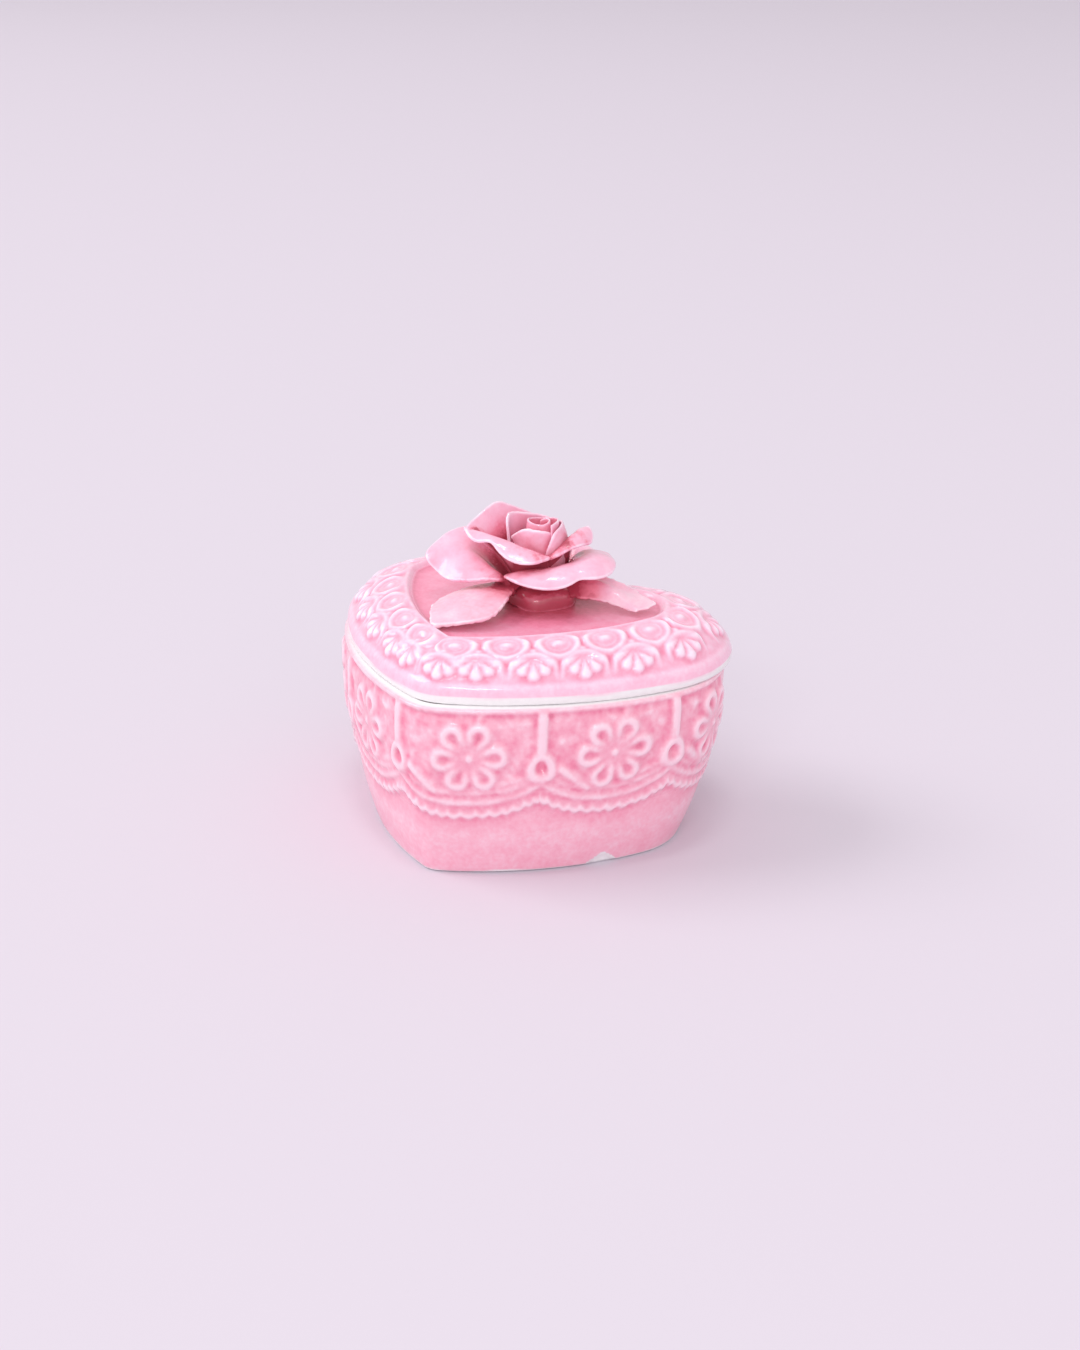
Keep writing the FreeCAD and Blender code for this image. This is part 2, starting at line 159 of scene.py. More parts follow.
def to_drop(x, y, near_r, far_r, length):
    """Signed distance to a drop: a small circle at the origin joined to a large one along +y."""
    x = np.abs(x)
    b = (near_r - far_r) / length
    a = math.sqrt(1 - b * b)
    k = -b * x + a * y
    side = x * a + y * b - near_r
    d = np.where(k < 0, np.hypot(x, y) - near_r, side)
    return np.where(k > a * length, np.hypot(x, y - length) - far_r, d)


def from_rose(p):
    """Distance of points from the rose's upright axis."""
    return np.hypot(p[..., 0] - ROSE_AT[0], p[..., 1] - ROSE_AT[1])


def lattice(i, j, k, seed):
    """A fixed scrambled value, -1 to 1, for each whole-number place."""
    h = (i * 374761393 + j * 668265263 + k * 1440662683 + seed * 974634777) & 0x7FFFFFFF
    h = ((h ^ (h >> 13)) * 1274126177) & 0x7FFFFFFF
    h = ((h ^ (h >> 15)) * 461845907) & 0x7FFFFFFF
    return ((h ^ (h >> 16)) & 0xFFFF) / 32767.5 - 1.0


def noise(p, size, seed):
    """Smooth value noise, -1 to 1, at points p (..., 3) with lumps about size across."""
    q = p / size
    base = np.floor(q).astype(np.int64)
    f = q - base
    f = f * f * (3 - 2 * f)
    total = 0
    for corner in range(8):
        o = np.array([corner & 1, corner >> 1 & 1, corner >> 2 & 1])
        w = np.prod(np.where(o == 1, f, 1 - f), axis=-1)
        c = base + o
        total = total + w * lattice(c[..., 0], c[..., 1], c[..., 2], seed)
    return total


def blur(h, sigma):
    """Gaussian blur of a grid of rows round the heart, sigma in cells; the columns wrap round."""
    n = max(1, int(sigma * 2.6))
    k = np.exp(-0.5 * (np.arange(-n, n + 1) / sigma) ** 2)
    k = k / k.sum()
    pad = np.pad(h, ((n, n), (0, 0)), mode="edge")
    h = sum(w * pad[i:i + len(h)] for i, w in enumerate(k))
    return sum(w * np.roll(h, i - n, axis=1) for i, w in enumerate(k))


# ---------------------------------------------------------------- mesh helpers
def new_object(name, data):
    item = bpy.data.objects.new(name, data)
    bpy.context.scene.collection.objects.link(item)
    return item


def vertex_vectors(mesh, key):
    """One vector of each vertex, its "co" or its "normal", as an array of rows."""
    flat = np.zeros(len(mesh.vertices) * 3)
    mesh.vertices.foreach_get(key, flat)
    return flat.reshape(-1, 3)


def finish_mesh(mesh, layers):
    """Smooth shading, and one number per vertex for each layer that the glaze reads.

    pool_and_shade is how thick the glaze lies, with painted shade added in places, bare is 1 on unglazed
    clay, satin is 1 where it is duller.
    """
    for key, values in layers.items():
        layer = mesh.attributes.new(key, "FLOAT", "POINT")
        layer.data.foreach_set("value", np.asarray(values, np.float32).ravel())
    mesh.polygons.foreach_set("use_smooth", [True] * len(mesh.polygons))
    mesh.update()


def grid_normals(p, row, way):
    """Unit normals of a grid of rows, all turned so that the row's first one points along way."""
    du = np.roll(p, -1, axis=1) - np.roll(p, 1, axis=1)
    dv = np.gradient(p, axis=0)
    n = np.cross(du, dv)
    n = n / np.maximum(np.linalg.norm(n, axis=-1, keepdims=True), 1e-9)
    return -n if n[row, 0] @ np.array(way) < 0 else n


def towards(middle, edge, shares):
    """Rows that shrink from the edge row towards a middle point."""
    return [middle + (edge - middle) * share for share in shares]


def grid_piece(name, p, pool_and_shade, bare, satin, centre=None):
    """Closed strip of rows round the heart, with an optional last point in the middle."""
    rows, cols = p.shape[:2]
    i = np.arange(rows - 1)[:, None] * cols
    j = np.arange(cols)[None, :]
    k = (j + 1) % cols
    faces = np.stack([i + j, i + k, i + cols + k, i + cols + j], -1).reshape(-1, 4).tolist()
    points = p.reshape(-1, 3)
    layers = {"pool_and_shade": pool_and_shade.ravel(), "bare": bare.ravel(), "satin": satin.ravel()}
    if centre is not None:
        last = (rows - 1) * cols
        faces += [[last + c, last + (c + 1) % cols, len(points)] for c in range(cols)]
        points = np.vstack([points, centre])
        layers = {key: np.append(v, v[-1]) for key, v in layers.items()}
    mesh = bpy.data.meshes.new(name)
    mesh.from_pydata((points * MM).tolist(), [], faces)
    finish_mesh(mesh, layers)
    return new_object(name, mesh)


# ---------------------------------------------------------------- lace on the wall
# s is the distance along the rim from the tip, z the height.
FIRST_BARS = [-6.5, 25.0, 53.3]     # the ribs nearest the tip; the rest share what is left
SCALLOPS = 9
REST = (LENGTH + FIRST_BARS[0] - FIRST_BARS[-1]) / (SCALLOPS - 2)
BARS = FIRST_BARS + [FIRST_BARS[-1] + REST * k for k in range(1, SCALLOPS - 1)]
BAR_FOOT_Z = 27.2
BAR_TOP_Z = 37.2
RING_Z = 25.1
RING_HALF = (2.05, 2.5)             # half width and half height of a rib's ring
FLOWER_Z = 27.5
FLOWER_R = 5.35
FLOWER_SHIFTS = {0: 1.2, 1: 0.8, 2: -0.9}
SCALLOP_LOW = 14.3
SCALLOP_CUSP = 18.2
SCALLOP_CURVE = 2.4
ROPE_PITCH = 2.9
CORD_UP = 2.9                       # the cord, the slots and the top cord over the rope edge
SLOTS_UP = 4.1
TOP_CORD_UP = 5.1
SLOT_PITCH = 3.6
TORN_Z = 34.7                       # the stippled ground frays out at this height
BAND_Z = 36.5                       # plain band under the rim
LACE_SINK = 0.4
rng = np.random.default_rng(7)


def flower(x, y, turn):
    """Six looped petals round a bead; x, y from its middle."""
    r = np.hypot(x, y)
    h = np.maximum(0.95 * ridge(r, 1.1), 0.42 * step(3.0, 1.9, r))
    for k in range(6):
        a = math.radians(60 * k + turn + rng.uniform(-4, 4))
        long = FLOWER_R + rng.uniform(-0.25, 0.25)
        px = x * math.sin(a) - y * math.cos(a)
        py = x * math.cos(a) + y * math.sin(a)
        d = to_drop(px, py - 1.5, 0.45, 1.72, long - 1.5)
        far = step(1.4, 4.6, py)
        loop = (0.40 + 0.50 * far) * ridge(d, 1.0)
        dent = ridge(np.hypot(px, 0.7 * (py - long + 0.5)), 1.0)
        inside = 0.48 * step(0.4, -0.5, d) * (1 - 0.6 * dent)
        h = np.maximum(h, np.maximum(loop, inside))
    return h


def bar_and_ring(x, z):
    """Upright rib from the rim band that ends in a drop-shaped ring."""
    rib = 0.85 * step(1.35, 0.7, np.abs(x))
    rib = rib * step(BAR_FOOT_Z, BAR_FOOT_Z + 1.4, z) * step(BAR_TOP_Z, BAR_TOP_Z - 0.8, z)
    up = z - RING_Z
    narrow = x * (1 + 0.10 * np.clip(up, -2, 3))
    off = (np.hypot(narrow / RING_HALF[0], up / RING_HALF[1]) - 1) * 2.3
    ring = 0.95 * np.exp(-np.abs(off / 1.15) ** 2.3)
    hole = -0.5 * ridge(np.hypot(narrow, (up - 0.1) / 1.35), 0.75)
    return np.maximum(rib, ring) + hole


def stippled_ground(z, p):
    """Rough ground between the motifs, with a frayed upper edge."""
    stipple = 0.22 * noise(p, 1.5, 3) + 0.12 * noise(p, 0.8, 4) + 0.22 * noise(p, 2.8, 5)
    torn = z - TORN_Z - 0.9 * noise(p, 2.4, 15)
    ground = -0.15 + stipple * step(0.4, -0.3, torn) - 0.12 * step(-0.2, 0.5, torn)
    return ground + 0.22 * ridge(torn + 0.4, 0.6)


def scalloped_edge(d, arc, across, p):
    """Rope edge with cords and slots over it; d is the distance above the scallop's line."""
    uneven = noise(p, 3.2, 6)
    wave = 0.45 - (0.75 + 0.15 * uneven) * np.abs(np.sin(math.pi * arc / ROPE_PITCH + 0.8 * uneven))
    rope = (0.75 + 0.15 * uneven) * ridge(d - wave, 0.68) + 0.30 * ridge(d - 1.1, 0.9)
    cord = (0.62 + 0.1 * uneven) * ridge(d - CORD_UP, 0.95)
    top_cord = 0.45 * ridge(d - TOP_CORD_UP, 0.8) * step(1.0, 0.72, across)
    along = np.mod(arc + 0.6 * uneven, SLOT_PITCH) - SLOT_PITCH / 2
    slots = 0.40 * ridge(d - SLOTS_UP, 0.8) * ridge(along, 0.8)
    return np.maximum.reduce([rope, cord, top_cord, slots])


def scallop_motifs(s, z, left, right, shift):
    """Flower and small strokes between the ribs at left and right."""
    middle = (left + right) / 2
    lift = rng.uniform(-0.3, 0.3)
    petals = flower(s - middle - shift, z - FLOWER_Z + lift, rng.uniform(-3, 8))
    near, t = to_segment(s, z, left + 4.0, 24.4, left + 9.8, 19.9)
    stroke = (0.85 - 0.25 * t) * ridge(near, 1.15 - 0.2 * t)
    far, _ = to_segment(s, z, right - 3.2, 22.2, right - 8.0, 20.6)
    loop = 0.45 * ridge(far - 0.8, 0.7)
    drop, t = to_segment(s, z, middle + 3.2, 36.0, middle + 2.9, 34.2)
    mark = 0.4 * ridge(drop, 0.7 - 0.3 * t)
    return np.maximum.reduce([petals, stroke, loop, mark])


def wall_relief(s, z, p):
    """Height of the lace over the wall at rim distance s and height z."""
    s = np.mod(s - BARS[0], LENGTH) + BARS[0]
    edges = np.array(BARS + [BARS[0] + LENGTH])
    k = np.clip(np.searchsorted(edges, s, side="right") - 1, 0, SCALLOPS - 1)
    half = (edges[k + 1] - edges[k]) / 2
    u = s - edges[k] - half
    across = np.abs(u / half)
    deep = SCALLOP_CUSP - SCALLOP_LOW
    slope = SCALLOP_CURVE * deep * across ** (SCALLOP_CURVE - 1) / half
    d = (z - SCALLOP_LOW - deep * across ** SCALLOP_CURVE) / np.sqrt(1 + slope ** 2)
    arc = u + 0.35 * np.sign(u) * slope * np.abs(u)

    inside = step(-0.4, 0.5, d) * step(BAND_Z, BAND_Z - 0.5, z)
    h = stippled_ground(z, p) * inside
    h = np.maximum(h, h * 0.3 + scalloped_edge(d, arc, across, p))
    for b in range(SCALLOPS):
        shift = FLOWER_SHIFTS.get(b, rng.uniform(-0.6, 0.6))
        motifs = scallop_motifs(s, z, edges[b], edges[b + 1], shift)
        h = np.where(k == b, np.maximum(h, motifs + 0.25 * h), h)
    nearest = np.argmin(np.abs(s[..., None] - edges), axis=-1)
    bars = bar_and_ring(s - edges[nearest], z)
    h = np.where(np.abs(bars) > 0.02, np.maximum(h, bars) + np.minimum(bars, 0), h)

    band = 0.45 * step(BAND_Z - 0.1, BAND_Z + 0.35, z)
    groove = -0.18 * ridge(z - BAND_Z + 0.35, 0.35)
    sunk = -LACE_SINK * step(8.5, 14.5, z)
    return h * step(BAND_Z + 0.4, BAND_Z - 0.1, z) + band + groove + sunk


# ---------------------------------------------------------------- the box
COLUMNS = 800
S = np.arange(COLUMNS) * LENGTH / COLUMNS    # the columns' distances along the rim
FINE = 0.3                          # spacing of the rows that carry relief
FOOT_ROWS = 12                      # the lowest rows are not blurred, so the flake stays sharp
# Sections of the lip, from the rim, and of the foot ring: (distance inside the wall, height).
LIP = [(WALL, 0.0), (2.2, 0.0), (1.4, 0.02), (0.75, 0.0), (0.38, -0.08), (0.14, -0.24)]
FOOT = [(0.5, 0.12), (1.4, 0.0), (2.4, 0.0), (FOOT_RING, 0.0)]
POOL_CAP = 0.24                     # the glaze lies no thicker than this between the motifs
CHIP_FROM = 36.3                    # the flake at the foot, along the rim from the tip
CHIP_TO = 44.8
CHIP_TOP = 3.0


def wall_shape(z):
    """How far the wall stands inside the rim's outline at height z, and its shift along y."""
    t = max(0.0, 1 - z / RIM_Z)
    inset = FOOT_INSET * t ** 1.7 - WALL_BELLY * math.sin(math.pi * t) + RIM_DRAW * (1 - t) ** 6
    return inset, FOOT_SHIFT * t ** 1.3


def base_row(s, z, extra=0.0, at_z=None):
    """Row of the box at height z, inside the wall by extra, with the wall's shape at at_z."""
    inset, shift = wall_shape(z if at_z is None else at_z)
    x, y, _ = outline(s, inset + extra)
    return np.stack([x + BASE_AT[0], y + BASE_AT[1] + shift, np.full_like(x, z)], -1)


def chip(s, z):
    """Flake knocked off the foot: where the bare clay shows, and how deep it is (0 to 1)."""
    a = np.mod(s + 20, LENGTH) - 20
    left = z - (a - CHIP_FROM) * 0.78
    right = z - 0.2 + (a - CHIP_TO) * 0.72
    top = z - CHIP_TOP + 0.10 * np.abs(a - 41.5)
    d = np.maximum.reduce([left, right, top])
    d = d + 0.12 * np.sin(a * 5.1) * np.cos(z * 4.0)
    return step(0.12, -0.12, d), step(0.0, -1.6, d)


def box_wall():
    """The outside, from the inner edge of the lip down to the inner edge of the foot ring."""
    zs = np.concatenate([
        np.arange(RIM_Z - 0.5, 12.6, -FINE),
        np.arange(12.4, 3.7, -0.9),
        np.arange(3.4, 0.25, -FINE),
    ])
    rows = [base_row(S, RIM_Z + dz, extra, RIM_Z) for extra, dz in LIP]
    rows += [base_row(S, z) for z in zs]
    rows += [base_row(S, z, extra) for extra, z in FOOT]
    p = np.array(rows)
    n = grid_normals(p, len(LIP), (0, -1, 0))
    first, last = len(LIP), len(LIP) + len(zs)
    wall = slice(first, last)
    lace = slice(first, last - FOOT_ROWS)
    z_grid = np.repeat(zs[:, None], COLUMNS, axis=1)
    s_grid = np.repeat(S[None, :], len(zs), axis=0)

    h = np.zeros(p.shape[:2])
    h[wall] = wall_relief(s_grid, z_grid, p[wall])
    h[:first] = h[first] * np.linspace(0.0, 1.0, first)[:, None] ** 2
    h[lace] = 0.2 * h[lace] + 0.8 * blur(h, 1.3)[lace]
    pool_and_shade = np.minimum(blur(h, 3.2) - h, POOL_CAP)
    mottle = (0.13 * noise(p, 1.8, 16) + 0.09 * noise(p, 0.9, 17)) * step(0.15, -0.2, h)
    pool_and_shade[wall] += mottle[wall] * step(15.0, 19.0, z_grid)
    gone, depth = chip(s_grid, z_grid)
    h[wall] -= 0.35 * depth
    lumps = 0.10 * noise(p, 11.0, 8) + 0.02 * noise(p, 2.2, 9)
    h[wall] += lumps[wall] * step(0.0, 3.0, z_grid) * step(RIM_Z, RIM_Z - 2, z_grid)
    p = p + n * h[..., None]

    bare = np.zeros(p.shape[:2])
    bare[:5] = np.array([1, 1, 1, 0.6, 0.15])[:, None]
    foot = 0.55 + 0.25 * noise(p[wall], 5.0, 10)
    bare[wall] = np.maximum(gone, step(foot + 0.15, foot - 0.15, z_grid))
    bare[last:] = 1
    satin = np.zeros(p.shape[:2])
    satin[wall] = 0.6 * step(18, 12, z_grid)
    return grid_piece("box_wall", p, pool_and_shade, bare, satin)


def box_inside():
    s = S[::2]
    rows = [base_row(s, RIM_Z, WALL), base_row(s, RIM_Z - 0.25, WALL + 0.1)]
    rows += [base_row(s, z, WALL + 0.05) for z in (35, 32, 28, 24, 20, 16, 12, 9.5, 8.0)]
    for extra, z in ((0.5, 6.8), (1.2, 5.8), (2.4, 5.15), (4.0, FLOOR_Z)):
        rows.append(base_row(s, z, WALL + extra, 7.5))
    middle = np.array([BASE_AT[0], BASE_AT[1] + BASE_MIDDLE_Y, FLOOR_Z])
    rows += towards(middle, rows[-1], (0.85, 0.7, 0.5, 0.3, 0.12))
    p = np.array(rows)
    p[..., 2] += 0.10 * noise(p, 9.0, 12) * step(36, 30, p[..., 2])
    bare = np.zeros(p.shape[:2])
    bare[:2] = 1
    pool_and_shade = 0.12 * noise(p, 6.0, 13) + 0.10 * step(8, 5.5, p[..., 2])
    return grid_piece("box_inside", p, pool_and_shade, bare, bare * 0, middle)


def box_underside():
    s = S[::2]
    hollow = ((FOOT_RING, 0.0), (4.25, 0.25), (4.6, 1.15), (5.1, FOOT_RECESS))
    rows = [base_row(s, z, extra, 0.0) for extra, z in hollow]
    middle = np.array([BASE_AT[0], BASE_AT[1] + FOOT_SHIFT + BASE_MIDDLE_Y, FOOT_RECESS])
    rows += towards(middle, rows[-1], (0.9, 0.75, 0.55, 0.35, 0.15))
    p = np.array(rows)
    bare = np.zeros(p.shape[:2])
    bare[:2] = 1
    pool_and_shade = 0.15 * noise(p, 5.0, 14)
    return grid_piece("box_underside", p, pool_and_shade, bare, bare * 0 + 1, middle)


# ---------------------------------------------------------------- lace on the lid
# v is the distance up the border from the lid's edge. Sections are (inset, height over the rim).
LID_EDGE = [(1.4, 0.05), (0.8, 0.0), (0.45, 0.12), (0.2, 0.35), (0.05, 0.7), (0.0, 1.1)]
LID_BORDER = [(0.0, 1.7), (0.7, 3.5), (2.7, 5.9), (6.0, 8.3), (10.0, 10.0), (13.0, 10.75)]
# Over the crest and down to the panel, from (PANEL_INSET, RISE).
LID_CREST = [(-0.9, 0.03), (-0.6, 0.0), (-0.3, -0.14), (-0.05, -0.35), (0.2, -0.6), (0.55, -0.84),
             (1.0, -1.0), (1.6, -1.08)]
LOOPS = 19
LOOP_INSET = 10.0
LOOP_START = 2.66
LOOP_TOP_V = 16.6
SHELL_FOOT_V = 3.6
TIP_SHELLS = [-9.0, 2.3]            # two shells share the wider gap at the tip
RELIEF = 0.85


def lid_line():
    """The border's section as evenly spaced (inset, height, distance up from the edge)."""
    q = np.array(LID_BORDER)
    t = np.linspace(0, 1, 400) * (len(q) - 1)
    i = np.clip(t.astype(int), 0, len(q) - 2)
    f = (t - i)[:, None]
    a, b = q[i], q[i + 1]
    prev, after = q[np.maximum(i - 1, 0)], q[np.minimum(i + 2, len(q) - 1)]
    tan_a, tan_b = (b - prev) / 2, (after - a) / 2
    c = a * (2 * f ** 3 - 3 * f ** 2 + 1) + tan_a * (f ** 3 - 2 * f ** 2 + f)
    c = c + b * (3 * f ** 2 - 2 * f ** 3) + tan_b * (f ** 3 - f ** 2)
    run = np.concatenate([[0], np.cumsum(np.linalg.norm(np.diff(c, axis=0), axis=1))])
    v = np.arange(0, run[-1], FINE)
    return np.interp(v, run, c[:, 0]), np.interp(v, run, c[:, 1]), v


def even_places(count, inset, first):
    """Rim distances of marks that are evenly spaced along the outline drawn at inset."""
    fine = np.linspace(0, LENGTH, 4001)
    ratio = outline(fine, inset, LID_TIP_KEEP)[2]
    run = np.concatenate([[0], np.cumsum((ratio[1:] + ratio[:-1]) / 2 * np.diff(fine))])
    want = np.mod(first + run[-1] * np.arange(count) / count, run[-1])
    return np.sort(np.interp(want, run, fine))


def loop_motif(x, v):
    """Rounded horseshoe, fainter towards the panel, with an oval bead in a moat."""
    y = LOOP_TOP_V - v
    bow = np.hypot(x, (y - 3.3) * np.where(y > 3.3, 1.04 - 0.06 * ridge(x, 1.0), 1.25))
    d = bow - 4.0
    rim = 0.80 * ridge(d, 0.88) * (0.35 + 0.65 * step(0.3, 2.6, y))
    lip = 0.30 * ridge(d + 1.6, 0.5)
    bead = 0.62 * ridge(np.hypot(x / 1.5, (y - 3.1) / 1.05), 1.0)
    return np.maximum.reduce([rim, bead, lip, 0.10 * step(0.2, -0.6, d)])


def shell_motif(x, v):
    """Fan of five plump lobes under a thick winged arch with a knob on top."""
    x = x / 1.08
    y = (v - SHELL_FOOT_V) / 1.05
    h = 0.55 * step(4.3, 3.0, np.hypot(x, (y - 5.2) * 0.95)) * step(6.6, 5.6, y)
    for k in range(5):
        a = math.radians(-90 + 34 * (k - 2))
        px = x * math.sin(a) - (y - 5.4) * math.cos(a)
        py = x * math.cos(a) + (y - 5.4) * math.sin(a)
        d = to_drop(px, py - 0.6, 0.5, 1.3, 3.3 + 0.3 * (k == 2) - 0.15 * abs(k - 2))
        lobe = np.sqrt(np.clip(-d / 0.9, 0, 1)) * (0.7 + 0.3 * step(0.8, 3.2, py))
        h = np.where(d < 0, np.maximum(0.9 * lobe, 0.3), h)
    top = 6.2 - 0.15 * x * x
    d = (y - top) / np.sqrt(1 + (0.30 * x) ** 2)
    arch = 0.80 * ridge(d, 0.92) * step(5.0, 4.1, np.abs(x))
    knob = 0.75 * ridge(np.hypot(x / 1.1, y - 7.1), 0.8)
    return np.maximum.reduce([h, arch, knob])


def lid_relief(s, v, ratio, p):
    """Height of the lace on the border; ratio is how much shorter a row is than the edge."""
    pitch = LENGTH / s.shape[1]
    run = np.cumsum(ratio, axis=1) * pitch
    total = run[:, -1:]

    def local(centre):
        """Distance along each row from the column at centre, the short way round."""
        column = int(round(centre % LENGTH / pitch)) % s.shape[1]
        return np.mod(run - run[:, column:column + 1] + total / 2, total) - total / 2

    loops = even_places(LOOPS, LOOP_INSET, LOOP_START)
    closed = np.append(loops, loops[0] + LENGTH)
    shells = [(a + b) / 2 for a, b in zip(loops[:-1], loops[1:])] + TIP_SHELLS
    h = np.zeros_like(s)
    for i, c in enumerate(loops):
        before = (c - loops[i - 1]) % LENGTH / 2
        after = (closed[i + 1] - c) % LENGTH / 2
        away = np.mod(s - c + HALF_LENGTH, LENGTH) - HALF_LENGTH
        own = step(1.0, 0.92, np.where(away < 0, -away / before, away / after))
        x = local(c + rng.uniform(-0.3, 0.3))
        h = np.maximum(h, own * loop_motif(x, v + rng.uniform(-0.2, 0.2)))
    for c in shells:
        x = local(c + rng.uniform(-0.3, 0.3))
        h = np.maximum(h, shell_motif(x * rng.uniform(0.95, 1.05), v + rng.uniform(-0.25, 0.25)))
    from_cleft = np.abs(s - HALF_LENGTH) / RIM_LENGTHS[-1]
    h = h * (0.25 + 0.75 * step(0.4, 1.5, from_cleft))
    inside = step(2.2, 3.6, v)
    ground = (-0.12 + 0.08 * noise(p, 1.6, 21)) * inside
    return RELIEF * np.where(h > 0.02, h + 0.3 * ground, ground) - 0.2 * inside


def lid_row(s, inset, z, keep=LID_TIP_KEEP):
    """Row of the lid at height z over the rim, and how much shorter than the edge it is."""
    x, y, ratio = outline(s, inset, keep)
    return np.stack([x + LID_AT[0], y + LID_AT[1], np.full_like(x, RIM_Z + z)], -1), ratio


def lid_top():
    """The outside, from under the edge over the border to the middle of the sunk panel."""
    inset, z, v = lid_line()
    crest = [(PANEL_INSET + a, RISE + b) for a, b in LID_CREST]
    line = LID_EDGE + list(zip(inset, z)) + crest
    rows, ratios = zip(*(lid_row(S, a, b) for a, b in line))
    middle = np.array([LID_AT[0], LID_AT[1] + LID_MIDDLE_Y, PANEL_Z])
    flat = towards(middle, rows[-1], (0.93, 0.84, 0.72, 0.6, 0.46, 0.32, 0.18, 0.08))
    p = np.array(list(rows) + flat)
    p[len(line):, :, 2] = PANEL_Z
    n = grid_normals(p, len(line) // 2, (0, 0, 1))
    first, last = len(LID_EDGE), len(LID_EDGE) + len(v)
    border = slice(first, last)
    s_grid = np.repeat(S[None, :], len(v), axis=0)
    v_grid = np.repeat(v[:, None], COLUMNS, axis=1)

    h = np.zeros(p.shape[:2])
    h[border] = lid_relief(s_grid, v_grid, np.array(ratios)[border], p[border])
    soft = slice(first, last + 3)
    h[soft] = 0.3 * h[soft] + 0.7 * blur(h, 1.0)[soft]
    pool_and_shade = blur(h, 3.0) - h
    corner = last + 6               # the row in the corner between the crest and the panel
    pool_and_shade[corner - 4:corner + 3] += 0.16 * ridge(np.arange(-4, 3), 1.6)[:, None]
    # The sunk panel is a little deeper: thicker glaze there, and painted shade from the rose above it.
    pool_and_shade[corner:] += 0.18
    # Painted shade from the rose: deeper still towards its axis, where its shadow falls on the panel.
    pool_and_shade[last:] += 0.45 * step(20.0, 4.5, from_rose(p))[last:]
    h = h + 0.08 * noise(p, 12.0, 22) + 0.02 * noise(p, 2.4, 23)
    p = p + n * h[..., None]

    bare = np.zeros(p.shape[:2])
    limit = RIM_Z + 1.75 + 0.2 * noise(p, 7.0, 24)
    bare[:first + 4] = step(limit + 0.12, limit - 0.12, p[..., 2])[:first + 4]
    satin = np.zeros(p.shape[:2])
    satin[corner - 1:] = 1
    return grid_piece("lid_top", p, pool_and_shade, bare, satin, middle)


def lid_under():
    """The inside: the seat on the rim, the locating ring and the hollow under the panel."""
    s = S[::2]
    ring_out = WALL + FLANGE_GAP
    ring_in = ring_out + FLANGE_WALL
    low = -FLANGE_DEPTH
    roof = RISE - PANEL_SINK - LID_THICK
    seat = [(1.4, 0.05), (WALL, 0.0), (ring_out - 0.6, 0.0)]
    ring = [(ring_out, -0.5), (ring_out, low + 0.6), (ring_out + 0.3, low + 0.1), (ring_out + 0.8, low),
            (ring_in - 0.8, low), (ring_in - 0.3, low + 0.2), (ring_in, low + 0.7)]
    throat = [(ring_in, 0.0), (ring_in, roof - 2.8), (ring_in + 0.6, roof - 1.4)]
    vault = [(ring_in + 2.0, roof - 0.3), (ring_in + 4.0, roof)]
    rows = [lid_row(s, a, b)[0] for a, b in seat]
    rows += [lid_row(s, a, b, RING_TIP_KEEP)[0] for a, b in ring + throat]
    rows += [lid_row(s, a, b)[0] for a, b in vault]
    middle = np.array([LID_AT[0], LID_AT[1] + LID_MIDDLE_Y, RIM_Z + roof])
    rows += towards(middle, rows[-1], (0.85, 0.65, 0.45, 0.25, 0.1))
    p = np.array(rows)
    bare = np.zeros(p.shape[:2])
    bare[:len(seat + ring)] = 1
    pool_and_shade = 0.12 * noise(p, 6.0, 25)
    return grid_piece("lid_under", p, pool_and_shade, bare, bare * 0, middle)


# ---------------------------------------------------------------- hand-modelled clay
ROOT_REACH = 17.0           # painted shade: the glaze colour is deeper round the rose's root, out to here
ROOT_RISE = 8.5
ROOT_SHADE = 0.65            # this much deeper, as painted shade
EDGE_PALE = 0.24            # and the glaze is this much thinner on edges
RELAX = 0.55                # share of the way to its neighbours' mean that a point moves each round


def remeshed(node, voxel):
    """An even, fine copy of the node's solid, as a new object."""
    piece = new_object(node + "_glazed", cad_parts[node].data.copy())
    remesh = piece.modifiers.new("remesh", "REMESH")
    remesh.mode = "VOXEL"
    remesh.voxel_size = voxel * MM
    fine = bpy.data.meshes.new_from_object(piece.evaluated_get(bpy.context.evaluated_depsgraph_get()))
    piece.modifiers.clear()
    piece.data = fine
    fine.name = piece.name
    return piece


